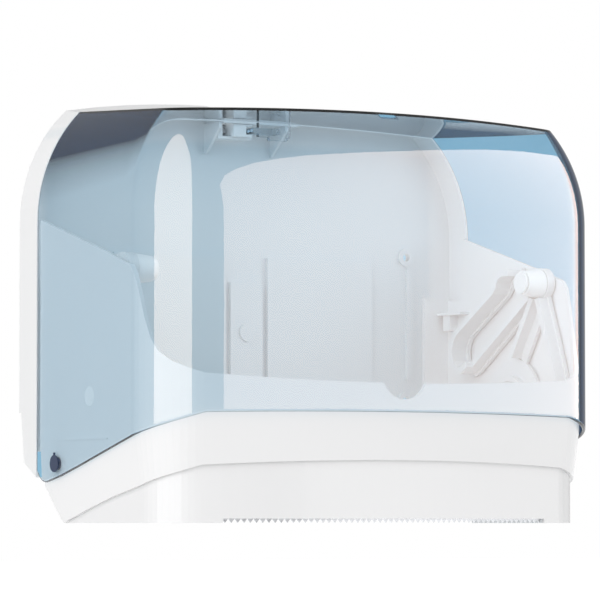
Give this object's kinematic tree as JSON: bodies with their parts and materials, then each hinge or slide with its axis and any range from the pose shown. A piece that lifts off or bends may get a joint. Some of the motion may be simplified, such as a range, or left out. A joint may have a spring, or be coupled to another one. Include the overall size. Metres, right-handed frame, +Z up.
{
  "type": "wall-mounted roll dispenser",
  "caption": "Wall dispenser for rolled or folded sheet, with a hinged see-through tinted cover, swinging roll arms, a toothed tear edge and a finger lock on top.",
  "frame": {"origin": "on the wall plane, at the centre of the rectangle of four wall screws", "axes": "+X to the right along the wall seen from the room, +Y into the wall, +Z up"},
  "size_m": [0.3312, 0.197, 0.2725],
  "materials": {
    "white_housing": "satin moulded white",
    "white_chute": "glossy moulded white",
    "white_arm": "satin moulded white",
    "white_small": "satin moulded white",
    "tinted_cover": "clear, polished, smoke-blue tint",
    "tinted_catch": "clear, smoke-blue tint",
    "navy_pin": "dark navy, polished",
    "blade_steel": "bright stamped strip",
    "screw_steel": "zinc plated",
    "spring_steel": "drawn wire"
  },
  "bodies": {
    "housing": {"rear_housing": "white_housing", "front_tray": "white_chute", "tray_screws": "screw_steel", "tear_blade": "blade_steel", "blade_rivets": "white_small", "latch_case": "white_small", "latch_screws": "screw_steel", "latch_spring": "spring_steel", "arm_pivot_left": "white_small", "arm_pivot_right": "white_small"},
    "hood": {"cover": "tinted_cover", "cover_catch": "tinted_catch", "hinge_pin_left": "navy_pin", "hinge_pin_right": "navy_pin"},
    "latch": {"latch_slide": "white_small"},
    "left_arm": {"arm_left": "white_arm", "hub_cap_left": "white_small"},
    "right_arm": {"arm_right": "white_arm", "hub_cap_right": "white_small"},
    "left_hub": {"hub_left": "white_small"},
    "right_hub": {"hub_right": "white_small"}
  },
  "joints": [
    {"name": "cover_hinge", "type": "hinge", "parent": "housing", "child": "hood", "pos_m": [0, -0.047, -0.093], "axis": [1, 0, 0], "range_deg": [0, 95]},
    {"name": "latch_slide_x", "type": "slide", "parent": "housing", "child": "latch", "axis": [-1, 0, 0], "range_m": [0, 0.0045], "stiffness_N_per_m": 400, "springref_m": -0.003, "deforming": ["latch_spring"]},
    {"name": "arm_left_hinge", "type": "hinge", "parent": "housing", "child": "left_arm", "pos_m": [-0.155, -0.087, -0.052], "axis": [1, 0, 0], "range_deg": [-20, 12]},
    {"name": "arm_right_hinge", "type": "hinge", "parent": "housing", "child": "right_arm", "pos_m": [0.155, -0.087, -0.052], "axis": [1, 0, 0], "range_deg": [-20, 12]},
    {"name": "hub_left_spin", "type": "hinge", "parent": "left_arm", "child": "left_hub", "pos_m": [-0.145, -0.121, 0.0255], "axis": [1, 0, 0], "continuous": true},
    {"name": "hub_right_spin", "type": "hinge", "parent": "right_arm", "child": "right_hub", "pos_m": [0.145, -0.121, 0.0255], "axis": [1, 0, 0], "continuous": true}
  ]
}
